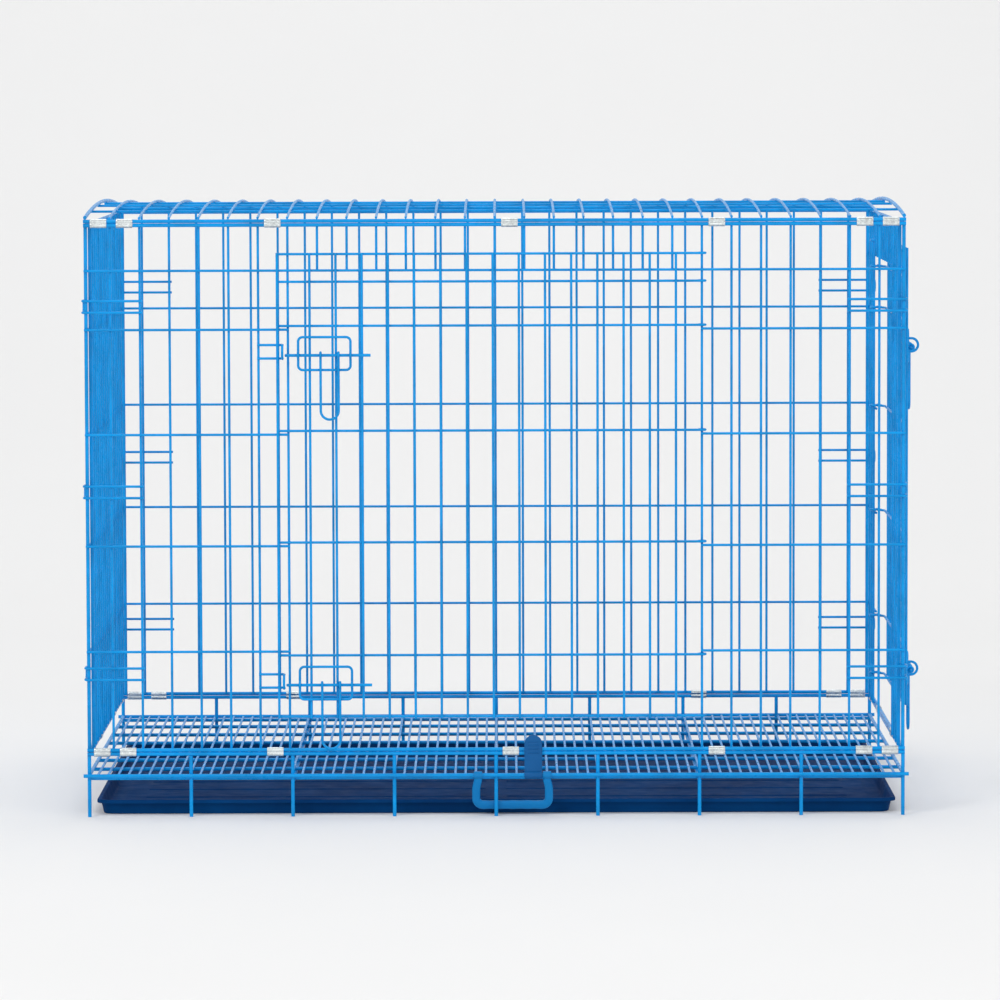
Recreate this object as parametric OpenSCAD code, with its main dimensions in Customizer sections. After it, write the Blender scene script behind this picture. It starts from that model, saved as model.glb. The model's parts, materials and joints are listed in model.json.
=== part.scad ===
// Folding wire dog crate: five welded panels hinged together over a raised wire floor,
// with a sliding plastic tray, a front door, an end door and slide-bolt latches.
// +X is right, -Y is the front, +Z is up. The origin is on the ground under the middle.

/* [Overall] */
// Width over the front panel
crate_w = 1100; // [800:10:1400]
// Depth over the front and back panels
crate_d = 700; // [540:10:900]
// Height from the ground to the middle of the top rails
crate_h = 796; // [600:2:1000]

/* [Wire] */
// Diameter of rails, edges, legs and supports
rail_d = 5; // [4:0.1:6.5]
// Diameter of mesh wires, hooks, doors and latches
mesh_d = 3.4; // [2.6:0.1:4]
// Diameter of the floor bars
bar_d = 3.4; // [2.6:0.1:4]
// Diameter of the sliding bolts
bolt_d = 4; // [3.4:0.1:4.6]

/* [Panels] */
// Pitch of the upright mesh wires
mesh_pitch = 39.6; // [30:0.1:50]
// Height of the base rail that the panels hinge on
base_z = 85; // [75:1:110]
// Rise of the roof at mid-depth
roof_crown = 14; // [6:1:25]
// Free space between an end panel and the front or back panel
end_clear = 5; // [4:0.5:9]

/* [Doors] */
// Half-width of the front doorway, in mesh pitches
front_half = 7; // [4:1:8]
// Half-width of the end doorway, in mesh pitches
end_half = 5; // [4:1:5]
// How far the wire over the doorways is below the top rail
lintel_drop = 61; // [45:1:150]
// Height of a door's bottom wire over the base rail
door_bottom = 50; // [35:1:90]
// How far a door's top wire stands above the lintel wire
door_over = 22; // [10:1:35]
// Pitch of a door's upright wires
door_pitch = 35; // [30:0.5:45]
// How far a door laps past its doorway on the latch side
door_lap = 14; // [10:1:18]
// Radius of the curls that hinge a door on its upright
curl_r = 4.6; // [4:0.1:6]
// How much further out the end door stands than the front door
end_door_out = 10; // [6:1:14]

/* [Latches] */
// How far the upper bolts are below the top rail
upper_bolt_drop = 174; // [160:1:240]
// How far the lower bolts are below the panel's lowest row
lower_bolt_drop = 44; // [40:1:60]
// How far a bolt slides
bolt_throw = 18; // [14:1:24]
// Length of a bolt
bolt_len = 115; // [100:1:140]
// Length of a latch's wire guide
guide_len = 70; // [60:1:80]
// Height of a latch's wire guide
guide_h = 44; // [36:1:50]
// How far a bolt's grip hangs down
grip_drop = 86; // [60:1:100]
// Width of a bolt's grip between wire centres
grip_w = 24; // [20:1:30]

/* [Hinge clips] */
// Length of a crimped hinge clip
clip_len = 22; // [16:1:26]
// Thickness of the clips' sheet
clip_t = 0.9; // [0.6:0.1:1.2]

/* [Floor and tray] */
// Height of the floor bars
floor_z = 56; // [50:1:70]
// Pitch of the floor bars
bar_pitch = 13.75; // [11:0.25:20]
// Pitch of the wires under the floor bars
cross_pitch = 100; // [80:1:150]
// Height of the tray
tray_h = 20; // [16:1:30]
// Thickness of the tray's walls
tray_t = 2.2; // [1.5:0.1:3]
// Gap between the tray's rim and the crate's front or back legs
tray_gap = 19; // [14:1:30]
// Width of the tray's rim
tray_rim = 4; // [3:0.5:6]

/* [Carry handle] */
// Span of the handle between its arms' centres
handle_span = 100; // [80:1:106]
// Distance of the handle's middle from the crate's middle
handle_x = 22; // [18:0.5:26]
// Distance from the wire to the bottom of the grip
handle_drop = 50; // [44:1:52]
// Thickness of the handle
handle_t = 7; // [5:0.5:8]

/* [Hidden] */

paint = "dodgerblue";
zinc = "gainsboro";
tray_colour = "midnightblue";
handle_colour = "steelblue";

seam = 0.02;         // crossing welded wires stand this far apart
clear = 0.4;         // free space between pieces that pass each other
stack = rail_d + 0.3; // a hinged rail over the rail it turns on
grip_fit = 0.02;     // a clip on the rail it is crimped to
turn_fit = 0.06;     // a clip, eye or ring on the rod it turns or slides on
wire_fn = 24;

rail_y = -crate_d / 2 + rail_d / 2;               // rail plane of the front panel
rail_x = crate_w / 2 - rail_d / 2;                // rail plane of the right end panel
mesh_y = (rail_d + mesh_d) / 2 + seam;            // uprights stand inside the rail plane
edge_y = rail_d + seam;                           // edge wires stand further in
row_y = mesh_y - mesh_d - seam;                   // rows stand just outside the uprights
door_y = mesh_y - curl_r;                         // a door's rows, outside its hinge upright
door_up_y = door_y - mesh_d - seam;               // a door's uprights, outside its rows
guide_y = door_up_y - mesh_d - seam;              // a latch's guide, outside the door
bolt_y = guide_y - mesh_d / 2 - clear - bolt_d / 2; // a bolt, outside its guide

bottom_z = base_z + stack;                        // a panel's bottom rail
// Rows between the rails, as shares of the height from base rail to top rail
row_z = [for (share = [0.194, 0.394, 0.605, 0.803]) base_z + share * (crate_h - base_z)];
lintel_z = crate_h - lintel_drop;
upper_bolt_z = crate_h - upper_bolt_drop;
lower_bolt_z = row_z[0] - lower_bolt_drop;
end_half_d = crate_d / 2 - 2 * rail_d - end_clear; // half-depth of an end panel
function wires_each_side(half) = floor((half - rail_d - mesh_d / 2 - clip_len - 2) / mesh_pitch);
front_n = wires_each_side(crate_w / 2);
end_n = wires_each_side(end_half_d);

leg_count = 9;
leg_pitch = 2 * rail_x / (leg_count - 1);
leg_x = [for (i = [0:leg_count - 1]) -rail_x + i * leg_pitch];

door_shift = 5;                                   // a door's rows stand this far from the panel's
door_rows = concat(
  [base_z + door_bottom, row_z[0] - door_shift],
  [for (j = [1:len(row_z) - 1]) row_z[j] + door_shift],
  [lintel_z - 15, lintel_z + door_over]
);

hook_gap = 15.5;                                  // between a hook's two wires
hook_z = [row_z[0] - 30, (row_z[1] + row_z[2]) / 2 - 2, row_z[3] + 31];
hook_reach = 22;                                  // how far a hook wraps round an end panel
hook_bend = 5;

keeper_low = bolt_d / 2 + mesh_d / 2 + 0.9;       // from a bolt down to its keeper's lower wire
keeper_gap = 18;                                  // between a keeper's two wires
keeper_bend = 4;

// ---- small shapes ----

// Straight wire from a to b
module wire(a, b, d) {
  v = b - a;
  len = norm(v);
  translate(a)
    rotate([0, acos(v.z / len), atan2(v.y, v.x)])
      cylinder(d = d, h = len, $fn = wire_fn);
}

// Bend of wire about the local Z axis, from angle a0 through the given turn
module bend(r, d, a0, turn) {
  rotate([0, 0, a0])
    rotate_extrude(angle = turn, $fn = 64) translate([r, 0]) circle(d = d, $fn = wire_fn);
}

// Closed ring of wire about the X axis
module ring_x(r, d) {
  rotate([0, 90, 0]) rotate_extrude($fn = 64) translate([r, 0]) circle(d = d, $fn = wire_fn);
}

// Puts a front-panel shape on each side of the crate
module on_front() { translate([0, rail_y, 0]) children(); }
module on_back() { rotate([0, 0, 180]) translate([0, rail_y, 0]) children(); }
module on_right() { translate([rail_x, 0, 0]) rotate([0, 0, 90]) children(); }
module on_left() { translate([-rail_x, 0, 0]) rotate([0, 0, -90]) children(); }

// ---- panels, drawn with the rail plane at y = 0 and the inside at +y ----

module panel_frame(half) {
  for (z = [bottom_z, crate_h]) wire([-half, 0, z], [half, 0, z], rail_d);
  for (s = [-1, 1])
    wire([s * (half - rail_d / 2), edge_y, bottom_z], [s * (half - rail_d / 2), edge_y, crate_h], rail_d);
}

// Uprights and rows; a doorway of door_n pitches each side of the middle is left open
module panel_mesh(half, n, door_n = 0) {
  for (k = [-n:n]) {
    foot = abs(k) < door_n ? lintel_z : bottom_z;
    wire([k * mesh_pitch, mesh_y, foot], [k * mesh_pitch, mesh_y, crate_h], mesh_d);
  }
  for (z = row_z) {
    if (door_n == 0 || z > lintel_z) wire([-half, row_y, z], [half, row_y, z], mesh_d);
    else for (s = [-1, 1])
      wire([s * half, row_y, z], [s * (door_n * mesh_pitch - mesh_d / 2), row_y, z], mesh_d);
  }
  if (door_n > 0) wire([-half, row_y, lintel_z], [half, row_y, lintel_z], mesh_d);
}

// Hairpin hooks on the panel's side s: they pass the panel's edge and wrap inwards round the end panel
module hooks(s, n) {
  out = crate_w / 2 + clear + mesh_d / 2;
  inner = (n - 1) * mesh_pitch - mesh_d;
  turn_y = row_y + hook_bend;
  for (z = hook_z) translate([0, 0, z]) {
    for (h = [-1, 1]) translate([0, 0, h * hook_gap / 2]) {
      wire([s * inner, row_y, 0], [s * (out - hook_bend), row_y, 0], mesh_d);
      translate([s * (out - hook_bend), turn_y, 0]) bend(hook_bend, mesh_d, s > 0 ? -90 : 180, 90);
      wire([s * out, turn_y, 0], [s * out, hook_reach, 0], mesh_d);
    }
    translate([s * out, hook_reach, 0]) rotate([0, 90, 0])
      bend(hook_gap / 2, mesh_d, 0, 180);
  }
}

// Middle of bay b, the space between uprights b and b + 1; the last bay runs to the edge wire
function bay_x(b, n, half) = b < n ? (b + 0.5) * mesh_pitch : (n * mesh_pitch + half - rail_d) / 2;
function meets(x, posts) = len([for (p = posts) if (abs(p - x) < (clip_len + rail_d) / 2 + clear) p]) > 0;
function free_bay(b, n, half, posts) =
  b < n - 1 && meets(bay_x(b, n, half), posts) ? free_bay(b + 1, n, half, posts) : b;

// A crimped clip round a rail at z = stack and the rail under it at z = 0, which it turns on
module clip() {
  fixed_r = rail_d / 2 + grip_fit;
  turn_r = rail_d / 2 + turn_fit;
  rotate([90, 0, 90]) translate([0, 0, -clip_len / 2]) linear_extrude(clip_len) difference() {
    union() {
      circle(r = turn_r + clip_t, $fn = 48);
      translate([0, stack]) circle(r = turn_r + clip_t, $fn = 48);
      translate([-turn_r - clip_t, 0]) square([2 * (turn_r + clip_t), stack]);
    }
    circle(r = turn_r, $fn = 48);
    translate([0, stack]) circle(r = fixed_r, $fn = 48);
    translate([-1, 0]) square([2, stack]);
  }
}

// Clips in the given bays on both sides of the middle, clear of the posts under the rail
module clips(bays, n, half, z, posts = []) {
  for (b = bays, s = [-1, 1]) translate([s * bay_x(free_bay(b, n, half, posts), n, half), 0, z]) clip();
}

long_bays = [floor(front_n / 2) + 1, front_n - 1, front_n];
end_bays = [floor(end_n / 2), end_n];

// ---- doors and latches, in the same panel frame ----

// Door of half-width door_n pitches, hinged on the upright at +x. Each of its rows curls round
// the upright and, on a door that stands out, swings outwards in two bends next to the curl.
module door(door_n, out = 0) {
  post = door_n * mesh_pitch;
  far = -post - door_lap;
  r = out / (2 - 2 * cos(45));
  start = out > 0 ? post - 2 * r * sin(45) - seam : post;
  for (z = door_rows) translate([0, 0, z]) {
    wire([far - mesh_d / 2, door_y - out, 0], [start, door_y - out, 0], mesh_d);
    if (out > 0) {
      gap = asin(seam / r);
      translate([start + seam, door_y - out + r, 0]) bend(r, mesh_d, -90, 45);
      translate([post, door_y - r, 0]) bend(r, mesh_d, 90 + gap, 45 - 2 * gap);
    }
    translate([post, mesh_y, 0]) bend(curl_r, mesh_d, -90, 300);
  }
  for (x = concat([for (x = [post - door_pitch:-door_pitch:far + door_pitch * 0.7]) x], [far]))
    wire([x, door_up_y - out, base_z + door_bottom - mesh_d / 2],
         [x, door_up_y - out, lintel_z + door_over + mesh_d / 2], mesh_d);
}

function guide_x0(door_n) = -door_n * mesh_pitch + 14;
function keeper_x(door_n) = door_n * mesh_pitch + door_lap / 2;

// Rounded wire loop on the door, with two eyes that the bolt slides in
module guide(door_n) {
  r = 6;
  low = -guide_h * 0.45;
  high = low + guide_h;
  x0 = guide_x0(door_n);
  x1 = x0 + guide_len;
  eye_r = bolt_d / 2 + turn_fit + mesh_d / 2;
  translate([0, guide_y, 0]) {
    for (z = [low, high]) wire([x0 + r, 0, z], [x1 - r, 0, z], mesh_d);
    for (x = [x0, x1]) wire([x, 0, low + r], [x, 0, high - r], mesh_d);
    for (c = [[x0 + r, low + r, 90], [x1 - r, low + r, 0], [x0 + r, high - r, 180], [x1 - r, high - r, 270]])
      translate([c.x, 0, c.y]) rotate([-90, 0, 0]) bend(r, mesh_d, c.z, 90);
  }
  for (x = [x0, x1]) translate([x, bolt_y, 0]) ring_x(eye_r, mesh_d);
}

// The bolt is drawn withdrawn, with its tip just clear of the keeper
module bolt(door_n) {
  x0 = -keeper_x(door_n) + mesh_d / 2 + 1.3;
  translate([x0 + 1, bolt_y, 0]) rotate([0, 90, 0]) cylinder(d = bolt_d, h = bolt_len - 1, $fn = 32);
  translate([x0, bolt_y, 0]) rotate([0, 90, 0])
    cylinder(d1 = bolt_d - 1.6, d2 = bolt_d, h = 1, $fn = 32);
}

// U-shaped grip that hangs from two eyes on the bolt
module grip(door_n) {
  eye_r = bolt_d / 2 + turn_fit + mesh_d / 2;
  x0 = guide_x0(door_n) + bolt_throw + 12;        // stays clear of the guide's eye when shut
  r = grip_w / 2;
  translate([x0 + r, bolt_y, 0]) {
    for (s = [-1, 1]) translate([s * r, 0, 0]) {
      ring_x(eye_r, mesh_d);
      wire([0, 0, -eye_r], [0, 0, -grip_drop + r], mesh_d);
    }
    translate([0, 0, -grip_drop + r]) rotate([90, 0, 0]) bend(r, mesh_d, 180, 180);
  }
}

// Hairpin on the panel whose bent end stands out for the bolt to pass through
module keeper(door_n, out = 0) {
  x0 = -(door_n + 1) * mesh_pitch - mesh_d / 2;
  x1 = -keeper_x(door_n) - keeper_bend;
  out_y = bolt_y + 1 - out;
  for (z = [-keeper_low, keeper_gap - keeper_low]) translate([0, 0, z]) {
    wire([x0, row_y, 0], [x1, row_y, 0], mesh_d);
    translate([x1, row_y - keeper_bend, 0]) bend(keeper_bend, mesh_d, 0, 90);
    wire([x1 + keeper_bend, row_y - keeper_bend, 0], [x1 + keeper_bend, out_y, 0], mesh_d);
  }
  translate([x1 + keeper_bend, out_y, keeper_gap / 2 - keeper_low]) rotate([0, 90, 0])
    bend(keeper_gap / 2, mesh_d, 180, 180);
}

// ---- base ----

module base_rails() color(paint) {
  end_y = -rail_y - rail_d / 2 - seam;
  for (s = [-1, 1]) {
    wire([-crate_w / 2, s * rail_y, base_z], [crate_w / 2, s * rail_y, base_z], rail_d);
    wire([s * rail_x, -end_y, base_z], [s * rail_x, end_y, base_z], rail_d);
  }
}

module legs(side) {
  for (x = leg_x)
    translate([x, side * rail_y, 0]) cylinder(d = rail_d, h = base_z - rail_d / 2 - seam, $fn = wire_fn);
}

floor_wire_y = -rail_y + rail_d + seam;           // outside the legs
under_z = floor_z - (bar_d + rail_d) / 2 - seam;  // wires under the bars
leg_inner_y = -rail_y - rail_d / 2;

module floor_edges() color(paint) {
  end_x = crate_w / 2 + rail_d;
  end_z = under_z + rail_d + seam;                // the end wires lie on the cross wires
  for (s = [-1, 1]) {
    wire([-end_x, s * floor_wire_y, floor_z], [end_x, s * floor_wire_y, floor_z], rail_d);
    wire([s * rail_x, -leg_inner_y + seam, end_z], [s * rail_x, leg_inner_y - seam, end_z], rail_d);
  }
}

module floor_bars() color(paint) {
  n = floor((rail_x - rail_d / 2 - 4) / bar_pitch);
  for (k = [-n:n])
    wire([k * bar_pitch, -leg_inner_y + 0.5, floor_z], [k * bar_pitch, leg_inner_y - 0.5, floor_z], bar_d);
}

module floor_cross_wires() color(paint) {
  inner = leg_inner_y - rail_d / 2 - seam;
  between = [for (y = [-inner + cross_pitch:cross_pitch:inner - cross_pitch * 0.4]) y];
  for (y = concat([-inner, inner], between))
    wire([-crate_w / 2, y, under_z], [crate_w / 2, y, under_z], rail_d);
}

module floor_supports() color(paint) {
  z = under_z - rail_d - seam;
  for (i = [2, 4, 6])
    wire([leg_x[i], -leg_inner_y + seam, z], [leg_x[i], leg_inner_y - seam, z], rail_d);
}

// ---- tray ----

tray_half_w = crate_w / 2 - 10;
tray_half_d = crate_d / 2 - rail_d - tray_gap;
tray_draft = 4;

module tray_block(inset, z0, z1) {
  flare = tray_draft * (z1 - z0) / tray_h;
  hull() {
    for (step = [[z0, flare], [z1 - 0.01, 0]])
      translate([0, 0, step.x]) linear_extrude(0.01)
        offset(r = 14) square(2 * [tray_half_w - tray_rim - inset - step.y - 14,
                                   tray_half_d - tray_rim - inset - step.y - 14], center = true);
  }
}

module tray() color(tray_colour) {
  difference() {
    union() {
      tray_block(0, 0, tray_h);
      translate([0, 0, tray_h - tray_t]) linear_extrude(tray_t)
        offset(r = 18) square(2 * [tray_half_w - 18, tray_half_d - 18], center = true);
    }
    translate([0, 0, tray_t]) tray_block(tray_t, 0, tray_h);
  }
}

// ---- carry handle and strip clip, both hung on the front floor wire ----

handle_arm = 9;
handle_grip_h = 12;
// The grip hangs back against the inside of the middle leg
handle_tilt = asin((floor_wire_y - leg_inner_y + handle_t / 2 + clear) / (handle_drop - handle_grip_h));

module carry_handle() color(handle_colour) {
  r = 10;
  wire_r = rail_d / 2 + turn_fit;
  half = handle_span / 2;
  translate([handle_x, -floor_wire_y, floor_z]) rotate([handle_tilt, 0, 0]) difference() {
    union() {
      for (s = [-1, 1]) {
        translate([s * half - handle_arm / 2, 0, 0]) rotate([0, 90, 0])
          cylinder(r = wire_r + 2.4, h = handle_arm, $fn = 48);
        translate([s * half - handle_arm / 2, -handle_t / 2, -handle_drop + r])
          cube([handle_arm, handle_t, handle_drop - r]);
        translate([s * (half + handle_arm / 2 - r), 0, -handle_drop + r]) rotate([90, 0, 0])
          translate([0, 0, -handle_t / 2]) intersection() {
            cylinder(r = r, h = handle_t, $fn = 48);
            translate([s > 0 ? 0 : -r, -r, 0]) cube([r, r, handle_t]);
          }
      }
      translate([-half - handle_arm / 2 + r, -handle_t / 2, -handle_drop])
        cube([handle_span + handle_arm - 2 * r, handle_t, handle_grip_h]);
    }
    for (s = [-1, 1])
      translate([s * half - handle_arm, 0, 0]) rotate([0, 90, 0])
        cylinder(r = wire_r, h = 2 * handle_arm, $fn = 48);
  }
}

strip_x = 50;
strip_w = 24;
strip_t = 2.6;
strip_top = 54;                                   // above the floor wire

module strip_clip() color(tray_colour) {
  wire_r = rail_d / 2 + turn_fit;
  front = -crate_d / 2 + floor_wire_y - 1;        // back face of the strip, from the wire's axis
  translate([strip_x - strip_w / 2, -floor_wire_y, floor_z]) difference() {
    union() {
      rotate([0, 90, 0]) cylinder(r = wire_r + strip_t, h = strip_w, $fn = 48);
      translate([0, front - strip_t, 0]) cube([strip_w, strip_t, strip_top - strip_w / 2]);
      translate([strip_w / 2, front, strip_top - strip_w / 2]) rotate([90, 0, 0])
        cylinder(d = strip_w, h = strip_t, $fn = 48);
      for (z = [34, 39, 44]) translate([3, front - strip_t, z]) rotate([0, 90, 0])
        cylinder(d = 1.6, h = strip_w - 6, $fn = 24);
    }
    translate([-1, 0, 0]) rotate([0, 90, 0]) cylinder(r = wire_r, h = strip_w + 2, $fn = 48);
  }
}

// ---- roof, bowed from front to back ----

roof_z = crate_h + stack;
roof_chord = -2 * rail_y;
roof_r = (pow(roof_chord / 2, 2) + pow(roof_crown, 2)) / (2 * roof_crown);
function crown_at(y) = sqrt(pow(roof_r, 2) - pow(y, 2)) - (roof_r - roof_crown);

// Bowed wire from the front rail to the back rail
module bow(x, d) {
  lift = (rail_d + d) / 2 + seam;
  a = asin(roof_chord / 2 / roof_r);
  translate([x, 0, roof_z + lift - (roof_r - roof_crown)]) rotate([0, -90, 0]) rotate([0, 0, -a])
    rotate_extrude(angle = 2 * a, $fn = 256) translate([roof_r, 0]) circle(d = d, $fn = wire_fn);
}

module roof_frame() color(paint) {
  for (s = [-1, 1]) {
    wire([-crate_w / 2, s * rail_y, roof_z], [crate_w / 2, s * rail_y, roof_z], rail_d);
    bow(s * rail_x, rail_d);
  }
}

module roof_mesh() color(paint) {
  for (k = [-front_n:front_n]) bow(k * mesh_pitch, mesh_d);
  row = roof_chord / 5;
  for (j = [1:4]) {
    y = rail_y + j * row;
    wire([-crate_w / 2, y, roof_z + crown_at(y) + rail_d / 2 - mesh_d / 2],
         [crate_w / 2, y, roof_z + crown_at(y) + rail_d / 2 - mesh_d / 2], mesh_d);
  }
}

// ---- the pieces of each panel ----

module middle_clip(z) { translate([mesh_pitch / 2, 0, z]) clip(); }

module front_frame() color(paint) on_front() panel_frame(crate_w / 2);
module front_mesh() color(paint) on_front() panel_mesh(crate_w / 2, front_n, front_half);
module front_left_hooks() color(paint) on_front() hooks(-1, front_n);
module front_right_hooks() color(paint) on_front() hooks(1, front_n);
module front_clips() color(zinc) on_front() {
  clips(long_bays, front_n, crate_w / 2, base_z, leg_x);
  middle_clip(base_z);
}
module back_frame() color(paint) on_back() panel_frame(crate_w / 2);
module back_mesh() color(paint) on_back() panel_mesh(crate_w / 2, front_n);
module back_left_hooks() color(paint) on_back() hooks(1, front_n);
module back_right_hooks() color(paint) on_back() hooks(-1, front_n);
module back_clips() color(zinc) on_back() clips(long_bays, front_n, crate_w / 2, base_z, leg_x);
module left_end_frame() color(paint) on_left() panel_frame(end_half_d);
module left_end_mesh() color(paint) on_left() panel_mesh(end_half_d, end_n);
module left_end_clips() color(zinc) on_left() clips(end_bays, end_n, end_half_d, base_z);
module right_end_frame() color(paint) on_right() panel_frame(end_half_d);
module right_end_mesh() color(paint) on_right() panel_mesh(end_half_d, end_n, end_half);
module right_end_clips() color(zinc) on_right() clips(end_bays, end_n, end_half_d, base_z);
module roof_clips() color(zinc) on_front() {
  clips(long_bays, front_n, crate_w / 2, crate_h);
  middle_clip(crate_h);
}

module front_door() color(paint) on_front() door(front_half);
module end_door() color(paint) on_right() door(end_half, end_door_out);

// Puts a latch's pieces at a bolt's height, on the front door or the end door
module front_latch(z) { on_front() translate([0, 0, z]) children(); }
module end_latch(z) { on_right() translate([0, -end_door_out, z]) children(); }
module front_upper_guide() color(paint) front_latch(upper_bolt_z) guide(front_half);
module front_upper_bolt() color(paint) front_latch(upper_bolt_z) bolt(front_half);
module front_upper_grip() color(paint) front_latch(upper_bolt_z) grip(front_half);
module front_upper_keeper() color(paint) front_latch(upper_bolt_z) keeper(front_half);
module front_lower_guide() color(paint) front_latch(lower_bolt_z) guide(front_half);
module front_lower_bolt() color(paint) front_latch(lower_bolt_z) bolt(front_half);
module front_lower_grip() color(paint) front_latch(lower_bolt_z) grip(front_half);
module front_lower_keeper() color(paint) front_latch(lower_bolt_z) keeper(front_half);
module end_upper_guide() color(paint) end_latch(upper_bolt_z) guide(end_half);
module end_upper_bolt() color(paint) end_latch(upper_bolt_z) bolt(end_half);
module end_upper_grip() color(paint) end_latch(upper_bolt_z) grip(end_half);
module end_upper_keeper() color(paint)
  on_right() translate([0, 0, upper_bolt_z]) keeper(end_half, end_door_out);
module end_lower_guide() color(paint) end_latch(lower_bolt_z) guide(end_half);
module end_lower_bolt() color(paint) end_latch(lower_bolt_z) bolt(end_half);
module end_lower_grip() color(paint) end_latch(lower_bolt_z) grip(end_half);
module end_lower_keeper() color(paint)
  on_right() translate([0, 0, lower_bolt_z]) keeper(end_half, end_door_out);

module front_legs() color(paint) legs(1);
module back_legs() color(paint) legs(-1);

base_rails();
front_legs();
back_legs();
floor_edges();
floor_bars();
floor_cross_wires();
floor_supports();
tray();
carry_handle();
strip_clip();
front_frame();
front_mesh();
front_left_hooks();
front_right_hooks();
front_clips();
front_upper_keeper();
front_lower_keeper();
front_door();
front_upper_guide();
front_lower_guide();
front_upper_bolt();
front_upper_grip();
front_lower_bolt();
front_lower_grip();
back_frame();
back_mesh();
back_left_hooks();
back_right_hooks();
back_clips();
left_end_frame();
left_end_mesh();
left_end_clips();
right_end_frame();
right_end_mesh();
right_end_clips();
end_upper_keeper();
end_lower_keeper();
end_door();
end_upper_guide();
end_lower_guide();
end_upper_bolt();
end_upper_grip();
end_lower_bolt();
end_lower_grip();
roof_frame();
roof_mesh();
roof_clips();
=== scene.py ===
import json
import math
import bmesh
import bpy
import numpy as np
from mathutils import Matrix, Vector


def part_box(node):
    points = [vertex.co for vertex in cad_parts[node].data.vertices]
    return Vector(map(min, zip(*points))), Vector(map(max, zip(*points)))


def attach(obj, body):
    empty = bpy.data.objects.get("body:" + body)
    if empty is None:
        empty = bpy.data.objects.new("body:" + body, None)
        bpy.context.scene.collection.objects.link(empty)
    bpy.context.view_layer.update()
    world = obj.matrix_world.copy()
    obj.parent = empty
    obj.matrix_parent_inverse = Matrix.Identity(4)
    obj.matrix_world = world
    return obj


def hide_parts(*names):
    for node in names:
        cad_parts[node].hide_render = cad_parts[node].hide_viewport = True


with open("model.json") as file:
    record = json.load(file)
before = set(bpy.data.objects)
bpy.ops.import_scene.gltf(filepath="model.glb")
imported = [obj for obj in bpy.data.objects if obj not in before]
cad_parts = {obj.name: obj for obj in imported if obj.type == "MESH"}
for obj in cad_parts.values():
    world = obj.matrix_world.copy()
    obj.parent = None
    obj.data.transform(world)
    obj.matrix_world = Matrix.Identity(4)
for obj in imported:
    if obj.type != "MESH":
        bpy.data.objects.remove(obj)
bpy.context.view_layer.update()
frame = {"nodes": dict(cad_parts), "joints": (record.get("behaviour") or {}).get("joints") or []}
cad = frame["nodes"]
scene = bpy.context.scene
print("frame loaded:", len(cad), "nodes")


def startMaterial(name, **sockets):
    material = bpy.data.materials.new(name)
    material.use_nodes = True
    shader = material.node_tree.nodes["Principled BSDF"]
    for socket, value in sockets.items():
        shader.inputs[socket.replace("_", " ")].default_value = value
    return material, material.node_tree, shader


def addNode(tree, kind, inputs=None, **settings):
    node = tree.nodes.new("ShaderNode" + kind)
    for key, value in settings.items():
        setattr(node, key, value)
    for key, value in (inputs or {}).items():
        if hasattr(value, "is_output"):
            tree.links.new(value, node.inputs[key])
        else:
            node.inputs[key].default_value = value
    return node


def noiseAt(tree, place, scale, detail=3.0, rough=0.5, stretch=None):
    where = place
    if stretch:
        where = addNode(tree, "Mapping", {"Vector": place, "Scale": stretch}).outputs["Vector"]
    noise = addNode(tree, "TexNoise", {"Vector": where, "Scale": scale, "Detail": detail, "Roughness": rough})
    return noise.outputs["Fac"]


def rampOf(tree, factor, stops):
    ramp = addNode(tree, "ValToRGB", {"Fac": factor})
    marks = ramp.color_ramp.elements
    while len(marks) < len(stops):
        marks.new(0.5)
    for mark, (spot, colour) in zip(marks, stops):
        mark.position = spot
        mark.color = (*colour, 1.0) if isinstance(colour, tuple) else (colour, colour, colour, 1.0)
    return ramp.outputs["Color"]


def rangeOf(tree, factor, low, high, start=0.3, end=0.7):
    return addNode(tree, "MapRange", {"Value": factor, "From Min": start, "From Max": end,
                                      "To Min": low, "To Max": high}).outputs["Result"]


def mixOf(tree, factor, a, b):
    mix = addNode(tree, "Mix", data_type="RGBA")
    for socket, value in ((mix.inputs[0], factor), (mix.inputs[6], a), (mix.inputs[7], b)):
        if hasattr(value, "is_output"):
            tree.links.new(value, socket)
        else:
            socket.default_value = (*value, 1.0)
    return mix.outputs[2]


def bumpOf(tree, shader, layers):
    normal = None
    for height, distance, strength in layers:
        bump = addNode(tree, "Bump", {"Height": height, "Distance": distance, "Strength": strength})
        if normal:
            tree.links.new(normal, bump.inputs["Normal"])
        normal = bump.outputs["Normal"]
    tree.links.new(normal, shader.inputs["Normal"])


powderCoat = {
    "thin": (0.0, 0.245, 0.610),     # where the powder is thinner
    "full": (0.0, 0.320, 0.780),
    "bare": (0.20, 0.22, 0.24),      # steel in a chip
    "orangePeel": 750.0,
    "chips": 0.755,                  # higher leaves fewer chips
    "gloss": (0.24, 0.38),
}


def makePowderCoat(name, look, shade=1.0):
    material, tree, shader = startMaterial(name, Coat_Weight=0.04, Coat_Roughness=0.15, Specular_IOR_Level=0.18)
    place = addNode(tree, "TexCoord").outputs["Object"]
    thickness = noiseAt(tree, place, 22.0, 4.0)
    stops = [(spot, tuple(shade * c for c in look[key])) for spot, key in ((0.34, "thin"), (0.62, "full"))]
    paint = rampOf(tree, thickness, stops)
    chips = rampOf(tree, noiseAt(tree, place, 190.0, 5.0, 0.62), [(look["chips"], 0.0), (look["chips"] + 0.012, 1.0)])
    tree.links.new(mixOf(tree, chips, paint, look["bare"]), shader.inputs["Base Color"])
    satin = rangeOf(tree, noiseAt(tree, place, 130.0, 2.0), *look["gloss"])
    tree.links.new(satin, shader.inputs["Roughness"])
    peel = noiseAt(tree, place, look["orangePeel"], 2.0, 0.4)
    bumpOf(tree, shader, [(peel, 0.00016, 0.45), (chips, -0.00008, 0.8)])
    return material


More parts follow.
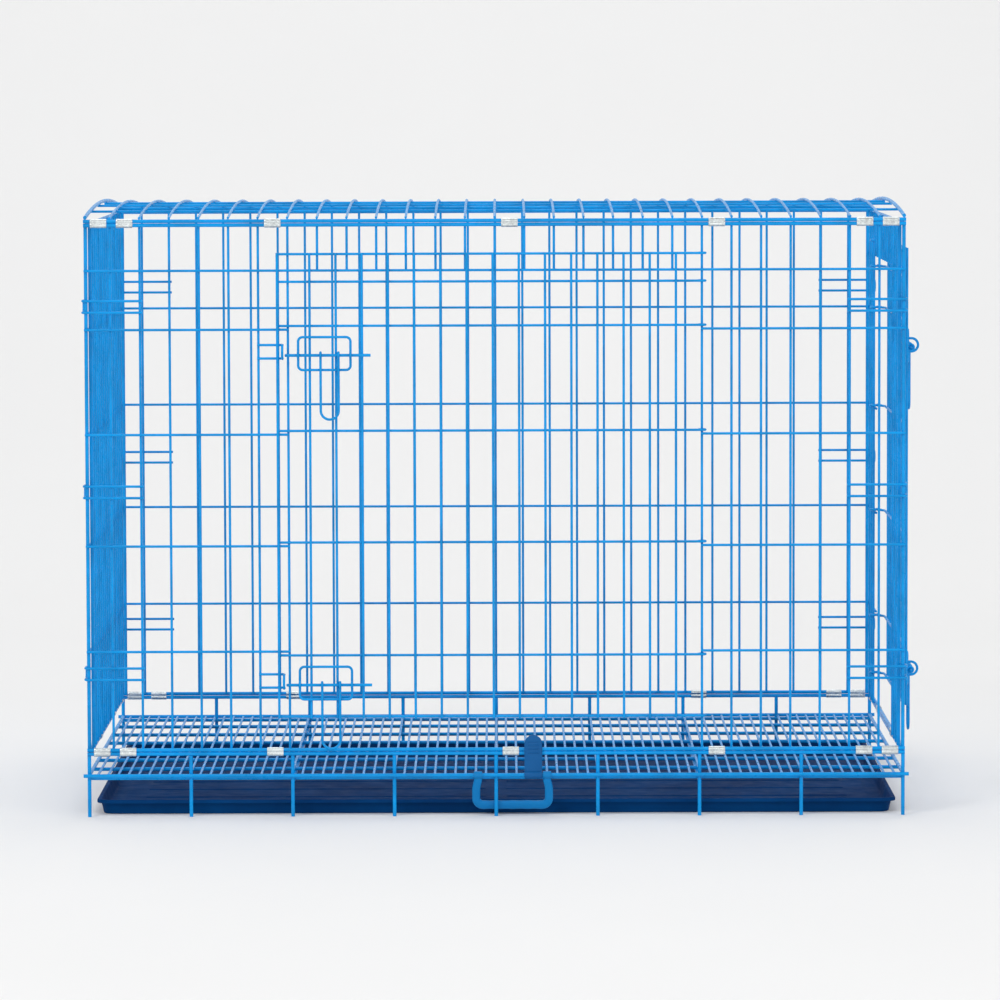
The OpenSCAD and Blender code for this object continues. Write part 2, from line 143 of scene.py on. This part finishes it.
galvanised = {
    "dull": (0.60, 0.64, 0.65),
    "bright": (0.74, 0.79, 0.79),
    "spangle": 520.0,
    "gloss": (0.24, 0.46),
}


def makeGalvanised(name, look):
    material, tree, shader = startMaterial(name, Metallic=1.0)
    place = addNode(tree, "TexCoord").outputs["Object"]
    cells = addNode(tree, "TexVoronoi", {"Vector": place, "Scale": look["spangle"]}).outputs["Color"]
    grey = addNode(tree, "RGBToBW", {"Color": cells}).outputs["Val"]
    spangle = rampOf(tree, grey, [(0.2, look["dull"]), (0.7, look["bright"])])
    tarnish = rampOf(tree, noiseAt(tree, place, 60.0, 4.0), [(0.35, 0.80), (0.6, 1.0)])
    shaded = addNode(tree, "Mix", data_type="RGBA", blend_type="MULTIPLY")
    shaded.inputs[0].default_value = 1.0
    tree.links.new(spangle, shaded.inputs[6])
    tree.links.new(tarnish, shaded.inputs[7])
    tree.links.new(shaded.outputs[2], shader.inputs["Base Color"])
    streaks = noiseAt(tree, place, 30.0, 3.0, 0.6, stretch=(2.0, 2.0, 60.0))
    tree.links.new(rangeOf(tree, streaks, *look["gloss"]), shader.inputs["Roughness"])
    bumpOf(tree, shader, [(streaks, 0.00008, 0.35), (noiseAt(tree, place, 900.0, 2.0), 0.00006, 0.4)])
    return material


trayPlastic = {
    "deep": (0.0002, 0.030, 0.118),
    "worn": (0.0004, 0.050, 0.178),
    "grain": 1400.0,
    "gloss": (0.55, 0.72),
    "shine": 0.05,
}

handlePlastic = {
    "deep": (0.0, 0.170, 0.455),
    "worn": (0.001, 0.215, 0.545),
    "grain": 1700.0,
    "gloss": (0.36, 0.52),
    "shine": 0.2,
}

stripPlastic = {
    "deep": (0.0, 0.066, 0.225),
    "worn": (0.002, 0.105, 0.320),
    "grain": 1700.0,
    "gloss": (0.38, 0.55),
    "shine": 0.2,
}


def makeMoulded(name, look, scuff=(5.0, 13.0, 9.0)):
    material, tree, shader = startMaterial(name, IOR=1.49, Specular_IOR_Level=look["shine"])
    place = addNode(tree, "TexCoord").outputs["Object"]
    flow = noiseAt(tree, place, 7.0, 5.0, 0.6)                       # flow marks from the mould
    body = rampOf(tree, flow, [(0.36, look["deep"]), (0.68, look["worn"])])
    scratches = rampOf(tree, noiseAt(tree, place, 16.0, 6.0, 0.7, stretch=scuff), [(0.72, 0.0), (0.76, 1.0)])
    pale = tuple(c * 1.5 + 0.003 for c in look["worn"])
    faint = addNode(tree, "Math", {0: scratches, 1: 0.25}, operation="MULTIPLY").outputs[0]
    tree.links.new(mixOf(tree, faint, body, pale), shader.inputs["Base Color"])
    tree.links.new(rangeOf(tree, noiseAt(tree, place, 45.0, 4.0), *look["gloss"]), shader.inputs["Roughness"])
    grain = noiseAt(tree, place, look["grain"], 2.0, 0.5)
    bumpOf(tree, shader, [(grain, 0.00012, 0.3), (scratches, -0.00004, 0.5)])
    return material


bluePowder = makePowderCoat("bluePowder", powderCoat)
zincPlate = makeGalvanised("zincPlate", galvanised)
trayBlue = makeMoulded("trayBlue", trayPlastic)
handleBlue = makeMoulded("handleBlue", handlePlastic)
stripBlue = makeMoulded("stripBlue", stripPlastic)

for name, node in cad.items():
    finish = zincPlate if name.endswith("_clips") else bluePowder
    if node.data.materials:
        for slot in node.material_slots:
            slot.material = finish
    else:
        node.data.materials.append(finish)
print("materials made")


def millimetres(*values):
    return [v * 0.001 for v in values]


def bridge(bm, loops, firstCap=True, lastCap=True, ring=True):
    rows = [[bm.verts.new(p) for p in loop] for loop in loops]
    for a, b in zip(rows, rows[1:]):
        for i in range(len(a) if ring else len(a) - 1):
            j = (i + 1) % len(a)
            bm.faces.new((a[i], a[j], b[j], b[i]))
    if firstCap:
        bm.faces.new(list(reversed(rows[0])))
    if lastCap:
        bm.faces.new(rows[-1])
    return rows


def finishPiece(name, bm, body, material, stands=(), sharp=38.0):
    bmesh.ops.recalc_face_normals(bm, faces=bm.faces)
    mesh = bpy.data.meshes.new(name)
    bm.to_mesh(mesh)
    bm.free()
    mesh.materials.append(material)
    mesh.polygons.foreach_set("use_smooth", [True] * len(mesh.polygons))
    mesh.set_sharp_from_angle(angle=math.radians(sharp))
    piece = bpy.data.objects.new(name, mesh)
    scene.collection.objects.link(piece)
    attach(piece, body)
    if stands:
        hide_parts(*stands)
    return piece


def solidBoxes(nodeName):
    # lowest and highest corner of each separate solid in a CAD node
    mesh = cad[nodeName].data
    places = np.empty(len(mesh.vertices) * 3)
    mesh.vertices.foreach_get("co", places)
    places = places.reshape(-1, 3)
    merged, index = np.unique(np.round(places, 6), axis=0, return_inverse=True)
    index = index.reshape(-1)
    leader = list(range(len(merged)))

    def lead(i):
        while leader[i] != i:
            leader[i] = leader[leader[i]]
            i = leader[i]
        return i

    for face in mesh.polygons:
        first = lead(index[face.vertices[0]])
        for v in face.vertices[1:]:
            leader[lead(index[v])] = first
    groups = {}
    for i in range(len(merged)):
        groups.setdefault(lead(i), []).append(i)
    return [(merged[g].min(0), merged[g].max(0)) for g in groups.values()]


def addBead(bm, start, end, radii, up=Vector((0, 0, 1)), rings=5, sides=12):
    # rounded bar from start to end: radii across it and along up
    along = (end - start).normalized()
    across = along.cross(up).normalized()
    tall = across.cross(along)
    wide, high = radii
    loops = []
    for tip, way, order in ((start, -1, range(rings, 0, -1)), (end, 1, range(1, rings + 1))):
        for k in order:
            a = math.radians(88.0 * (k - 1) / (rings - 1))
            middle = tip + along * way * wide * math.sin(a)
            loops.append([middle + (across * wide * math.cos(t) + tall * high * math.sin(t)) * math.cos(a)
                          for t in (2 * math.pi * i / sides for i in range(sides))])
    bridge(bm, loops)


weldMarks = {
    "spread": 0.40,       # of the thinner wire's diameter
    "height": 0.24,
    "groups": {
        "front_panel": ["front_frame", "front_mesh"],
        "back_panel": ["back_frame", "back_mesh"],
        "left_end": ["left_end_frame", "left_end_mesh"],
        "right_end": ["right_end_frame", "right_end_mesh"],
        "roof": ["roof_frame", "roof_mesh"],
        "front_door": ["front_door"],
        "end_door": ["end_door"],
        "base": ["base_rails", "front_legs", "back_legs", "floor_edges", "floor_bars",
                 "floor_cross_wires", "floor_supports"],
    },
}


def makeWelds(body, nodeNames, look):
    boxes = [b for n in nodeNames for b in solidBoxes(n)]
    low = np.array([b[0] for b in boxes]) - 0.00004
    high = np.array([b[1] for b in boxes]) + 0.00004
    bm = bmesh.new()
    count = 0
    for i in range(len(boxes)):
        under = np.maximum(low[i], low[i + 1:])
        over = np.minimum(high[i], high[i + 1:])
        for j in np.nonzero((under < over).all(1))[0]:
            lo, hi = under[j], over[j]
            size = hi - lo
            if size.max() > 0.012:
                continue                                    # side by side, not crossing
            normal = int(size.argmin())
            middle = (lo + hi) / 2
            if size[normal] > 0.0008:                       # a bowed wire over a straight one
                normal, middle[2] = 2, hi[2]
            wire = min(size[k] for k in range(3) if k != normal)
            reach = [wire * look["spread"]] * 3
            reach[normal] = wire * look["height"]
            matrix = Matrix.Translation(middle) @ Matrix.Diagonal((*reach, 1.0))
            bmesh.ops.create_icosphere(bm, subdivisions=1, radius=1.0, matrix=matrix)
            count += 1
    finishPiece(body + "_welds", bm, body, bluePowder, sharp=180.0)
    return count


marks = {body: makeWelds(body, names, weldMarks) for body, names in weldMarks["groups"].items()}
print("weld marks:", marks)


hingeClip = {
    "sheet": 0.0009,
    "pinch": 0.00050,       # how far the waist is pressed in
    "press": 0.00022,       # depth of the two pressed bands
    "bands": (-0.46, 0.46),  # where they are, as shares of the half-length
    "roll": 0.00030,        # rounding of the sheet's ends
}


def clipOutline(radius, rise, pinch, steps=12):
    points = []
    for k in range(steps + 1):
        a = math.pi * k / steps
        points.append((radius * math.cos(a), rise + radius * math.sin(a)))
    waist = [rise * (1 - 2 * k / 10) for k in range(1, 10)]
    points += [(-radius + pinch * math.exp(-(z / 0.0011) ** 2), z) for z in waist]
    for k in range(steps + 1):
        a = math.pi + math.pi * k / steps
        points.append((radius * math.cos(a), -rise + radius * math.sin(a)))
    points += [(radius - pinch * math.exp(-(z / 0.0011) ** 2), z) for z in reversed(waist)]
    return points


def makeClips(nodeName, body, look):
    bm = bmesh.new()
    for low, high in solidBoxes(nodeName):
        size = high - low
        along = int(size[:2].argmax())
        half = size[along] / 2
        radius = size[1 - along] / 2
        rise = size[2] / 2 - radius
        middle = (low + high) / 2
        shares = (-1, -0.985, -0.94, -0.62, -0.54, -0.46, -0.38, -0.30, 0.30, 0.38, 0.46, 0.54, 0.62, 0.94, 0.985, 1)
        loops = []
        for inside in (False, True):
            for s in (shares if not inside else reversed(shares)):
                ended = max(0.0, (abs(s) - 0.94) / 0.06) ** 2
                pressed = max(math.exp(-((s - b) / 0.07) ** 2) for b in look["bands"])
                r = radius - look["roll"] * ended - look["press"] * pressed
                if inside:
                    r = radius - look["sheet"] + look["roll"] * ended
                outline = clipOutline(r, rise, look["pinch"])
                loop = []
                for across, up in outline:
                    p = [0.0, 0.0, middle[2] + up]
                    p[along], p[1 - along] = middle[along] + s * half, middle[1 - along] + across
                    loop.append(Vector(p))
                loops.append(loop)
        rows = bridge(bm, loops, False, False)
        for a, b, c, d in zip(rows[0], rows[0][1:] + rows[0][:1], rows[-1][1:] + rows[-1][:1], rows[-1]):
            bm.faces.new((a, b, c, d))
    return finishPiece(nodeName + "_crimped", bm, body, zincPlate, stands=(nodeName,), sharp=50.0)


for nodeName, body in (("front_clips", "front_panel"), ("back_clips", "back_panel"), ("left_end_clips", "left_end"),
                       ("right_end_clips", "right_end"), ("roof_clips", "roof")):
    makeClips(nodeName, body, hingeClip)
print("hinge clips made")


tray = {
    "cornerRadius": 0.018,
    # inset from the rim's edge and height, both in millimetres, from the underside up and over to the floor
    "profile": [(12.0, 0.0), (9.6, 0.25), (8.5, 1.0), (8.1, 2.4), (6.6, 9.5), (5.0, 16.4), (4.6, 17.2), (3.6, 17.6),
                (2.2, 17.4), (1.7, 16.8), (1.6, 15.6), (1.2, 15.1), (0.4, 15.1), (0.0, 15.7), (0.0, 18.5),
                (0.3, 19.4), (1.1, 19.9), (2.0, 20.0), (4.2, 20.0), (5.4, 19.6), (6.2, 18.6), (8.6, 9.0),
                (10.2, 3.8), (11.2, 2.7), (13.0, 2.2), (22.0, 2.2), (24.5, 2.5), (27.5, 3.4), (30.0, 3.6)],
    "beads": 7,
    "beadWidth": 0.0055,
    "beadHeight": 0.0013,
}


def trayLoop(centre, halfX, halfY, radius, height, steps=8):
    points = []
    for sx, sy, start in ((1, 1, 0), (-1, 1, 90), (-1, -1, 180), (1, -1, 270)):
        for k in range(steps):
            a = math.radians(start + 90 * k / (steps - 1))
            points.append(Vector((centre.x + sx * (halfX - radius) + radius * math.cos(a),
                                  centre.y + sy * (halfY - radius) + radius * math.sin(a), height)))
    return points


def makeTray(look):
    low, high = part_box("tray")
    centre, half = (low + high) / 2, (high - low) / 2
    bm = bmesh.new()
    loops = []
    for inset, height in look["profile"]:
        inset, height = millimetres(inset, height)
        radius = max(0.006, look["cornerRadius"] - 0.35 * inset)
        loops.append(trayLoop(centre, half.x - inset, half.y - inset, radius, low.z + height))
    bridge(bm, loops)
    floor = low.z + look["profile"][-1][1] * 0.001
    reach = half.x - 0.062
    for k in range(look["beads"]):
        y = centre.y + (half.y - 0.075) * (2 * k / (look["beads"] - 1) - 1)
        for a, b in ((-reach, -reach * 0.04), (reach * 0.04, reach)):
            addBead(bm, Vector((centre.x + a, y, floor)), Vector((centre.x + b, y, floor)),
                    (look["beadWidth"], look["beadHeight"]))
    return finishPiece("tray_moulded", bm, "tray", trayBlue, stands=("tray",), sharp=32.0)


makeTray(tray)
print("tray made")


handle = {
    "tilt": 17.46,           # degrees that it leans back against the middle leg
    "span": 0.098,
    "drop": 0.050,
    "armWidth": 0.011,
    "splay": 0.0025,         # the arms' tops stand closer together by this
    "gripHeight": 0.012,
    "thick": 0.007,
    "bore": 0.00256,
    "wall": 0.0024,
    "corner": 0.0095,
    "fingers": 4,
    "fingerDepth": 0.0004,
}


def superEllipse(halfA, halfB, power=3.2, steps=20):
    points = []
    for k in range(steps):
        a = 2 * math.pi * k / steps
        c, s = math.cos(a), math.sin(a)
        points.append((math.copysign(abs(c) ** (2 / power), c) * halfA, math.copysign(abs(s) ** (2 / power), s) * halfB))
    return points


def addEye(bm, x0, x1, bore, outer, steps=40):
    # sleeve round the wire, with rounded ends
    r = 0.0006
    profile = [(x0, bore + r), (x0, outer - r), (x0 + 0.3 * r, outer - 0.3 * r), (x0 + r, outer),
               (x1 - r, outer), (x1 - 0.3 * r, outer - 0.3 * r), (x1, outer - r), (x1, bore + r),
               (x1 - 0.3 * r, bore + 0.3 * r), (x1 - r, bore), (x0 + r, bore), (x0 + 0.3 * r, bore + 0.3 * r)]
    loops = []
    for k in range(steps):
        a = 2 * math.pi * k / steps
        loops.append([Vector((x, radius * math.sin(a), radius * math.cos(a))) for x, radius in profile])
    rows = bridge(bm, loops, False, False)
    for i in range(len(profile)):
        j = (i + 1) % len(profile)
        bm.faces.new((rows[-1][i], rows[-1][j], rows[0][j], rows[0][i]))


def makeHandle(look):
    pivot = Vector(next(j["pos_m"] for j in frame["joints"] if j["name"] == "handle_swing"))
    half, arm, grip = look["span"] / 2, look["armWidth"] / 2, look["gripHeight"] / 2
    base, r = -look["drop"] + grip, look["corner"]
    stations = [(-half + look["splay"], -0.0030, 0.0, -1.0, arm), (-half + look["splay"], -0.008, 0.0, -1.0, arm),
                (-half + look["splay"] * 0.4, -0.014, 0.0, -1.0, arm), (-half, -0.020, 0.0, -1.0, arm),
                (-half, base + r + 0.004, 0.0, -1.0, arm)]
    corner = len(stations) + 9
    for k in range(9):                                       # left corner
        a = math.pi / 2 * k / 8
        wide = arm + (grip - arm) * (0.5 - 0.5 * math.cos(2 * a))
        stations.append((-half + r - r * math.cos(a), base + r - r * math.sin(a), math.sin(a), -math.cos(a), wide))
    steps = 44
    run = half - r
    for k in range(1, steps):                                # grip with finger waves
        x = -run + 2 * run * k / steps
        share = k / steps
        fade = min(1.0, min(share, 1 - share) / 0.08)
        wave = 0.5 - 0.5 * math.cos(2 * math.pi * look["fingers"] * share)
        stations.append((x, base, 1.0, 0.0, grip - look["fingerDepth"] * wave * fade))
    stations += [(-x, z, dx, -dz, w) for x, z, dx, dz, w in reversed(stations[:corner])]
    bm = bmesh.new()
    loops = []
    for i, (x, z, dx, dz, wide) in enumerate(stations):
        first = i in (0, len(stations) - 1)
        section = superEllipse(wide * (0.9 if first else 1.0), look["thick"] / 2 * (0.9 if first else 1.0))
        loops.append([Vector((x - dz * a, b, z + dx * a)) for a, b in section])
    bridge(bm, loops)
    for s in (-1, 1):
        eye = s * (half - look["splay"])
        addEye(bm, eye - arm, eye + arm, look["bore"], look["bore"] + look["wall"])
    matrix = Matrix.Translation(pivot) @ Matrix.Rotation(math.radians(look["tilt"]), 4, "X")
    bmesh.ops.transform(bm, matrix=matrix, verts=bm.verts)
    return finishPiece("carry_handle_moulded", bm, "carry_handle", handleBlue,
                       stands=("carry_handle",))


makeHandle(handle)
print("carry handle made")


stripClip = {
    "width": 0.024,
    "thick": 0.0026,
    "bore": 0.00256,
    "top": 0.054,
    "front": 0.00152,        # back face of the strip, from the wire's axis
    "ribs": (0.030, 0.035, 0.040, 0.045),
}


def makeStripClip(look):
    pivot = Vector(next(j["pos_m"] for j in frame["joints"] if j["name"] == "strip_clip_turn"))
    half = look["width"] / 2
    back, face = look["front"], look["front"] - look["thick"]
    bm = bmesh.new()
    loops = []
    for inset, y in ((0.0007, back), (0.0002, back - 0.00025), (0.0, back - 0.0008), (0.0, face + 0.0008),
                     (0.0002, face + 0.00025), (0.0007, face)):
        outline = [Vector((half - inset, y, 0.0036)), Vector((half - inset, y, 0.020))]
        for k in range(19):
            a = math.pi * k / 18
            outline.append(Vector(((half - inset) * math.cos(a), y, look["top"] - half + (half - inset) * math.sin(a))))
        outline += [Vector((inset - half, y, 0.020)), Vector((inset - half, y, 0.0036))]
        loops.append(outline)
    bridge(bm, loops)
    for z in look["ribs"]:
        addBead(bm, Vector((-half + 0.005, face, z)), Vector((half - 0.005, face, z)), (0.0009, 0.0008),
                up=Vector((0, -1, 0)), sides=10)
    addEye(bm, -half, half, look["bore"], look["bore"] + look["thick"])
    bmesh.ops.transform(bm, matrix=Matrix.Translation(pivot), verts=bm.verts)
    return finishPiece("strip_clip_moulded", bm, "strip_clip", stripBlue, stands=("strip_clip",))


makeStripClip(stripClip)
print("strip clip made")


studio = {
    "floor": (0.86, 0.86, 0.86),
    "world": 0.60,
    "camera": (0.0062, -7.986, 1.0049),
    "tilt": 4.33,            # degrees below level
    "roll": -0.0029,
    "lens": 205.6,
    "lights": [
        # name, place, aimed at, size, watts
        ("key", (-4.0, -5.5, 5.0), (0.0, 0.0, 0.35), 3.0, 170.0),
        ("fill", (4.5, -4.5, 3.2), (0.0, 0.0, 0.35), 3.5, 80.0),
        ("top", (0.0, 1.4, 5.0), (0.0, 0.6, 0.4), 4.0, 75.0),
        ("low", (0.0, -5.5, 0.9), (0.0, 0.0, 0.2), 2.2, 22.0),
    ],
}


def makeSweep(look):
    # floor that curves up into a wall behind
    profile = [(-14.0, 0.0), (2.0, 0.0)]
    profile += [(2.0 + 3.0 * math.sin(math.radians(a)), 3.0 - 3.0 * math.cos(math.radians(a))) for a in range(3, 91, 3)]
    profile.append((5.0, 9.0))
    bm = bmesh.new()
    loops = [[Vector((x, y, z)) for x in (-16.0, -5.0, 5.0, 16.0)] for y, z in profile]
    bridge(bm, loops, False, False, ring=False)
    mesh = bpy.data.meshes.new("studioFloor")
    bm.to_mesh(mesh)
    bm.free()
    mesh.polygons.foreach_set("use_smooth", [True] * len(mesh.polygons))
    floor = bpy.data.objects.new("studioFloor", mesh)
    material, tree, shader = startMaterial("paleFloor", Roughness=0.9)
    shader.inputs["Specular IOR Level"].default_value = 0.1
    place = addNode(tree, "TexCoord").outputs["Object"]
    tone = tuple(0.985 * c for c in look["floor"])
    tree.links.new(rampOf(tree, noiseAt(tree, place, 1.3), [(0.3, tone), (0.7, look["floor"])]),
                   shader.inputs["Base Color"])
    mesh.materials.append(material)
    scene.collection.objects.link(floor)


def makeLights(look):
    world = bpy.data.worlds.new("studioWorld")
    world.use_nodes = True
    background = world.node_tree.nodes["Background"]
    background.inputs["Color"].default_value = (1.0, 1.0, 1.0, 1.0)
    background.inputs["Strength"].default_value = look["world"]
    scene.world = world
    for name, place, target, size, watts in look["lights"]:
        light = bpy.data.lights.new(name, "AREA")
        light.shape, light.size, light.energy = "DISK", size, watts
        lamp = bpy.data.objects.new(name, light)
        lamp.location = place
        lamp.rotation_euler = (Vector(target) - Vector(place)).to_track_quat("-Z", "Y").to_euler()
        scene.collection.objects.link(lamp)


def makeCamera(look):
    data = bpy.data.cameras.new("camera")
    data.sensor_width, data.lens = 36.0, look["lens"]
    data.clip_end = 100.0
    camera = bpy.data.objects.new("camera", data)
    camera.matrix_world = (Matrix.Translation(look["camera"])
                           @ Matrix.Rotation(math.radians(90.0 - look["tilt"]), 4, "X")
                           @ Matrix.Rotation(look["roll"], 4, "Z"))
    scene.collection.objects.link(camera)
    scene.camera = camera


makeSweep(studio)
makeLights(studio)
makeCamera(studio)
scene.view_settings.view_transform = "Standard"
print("studio ready")
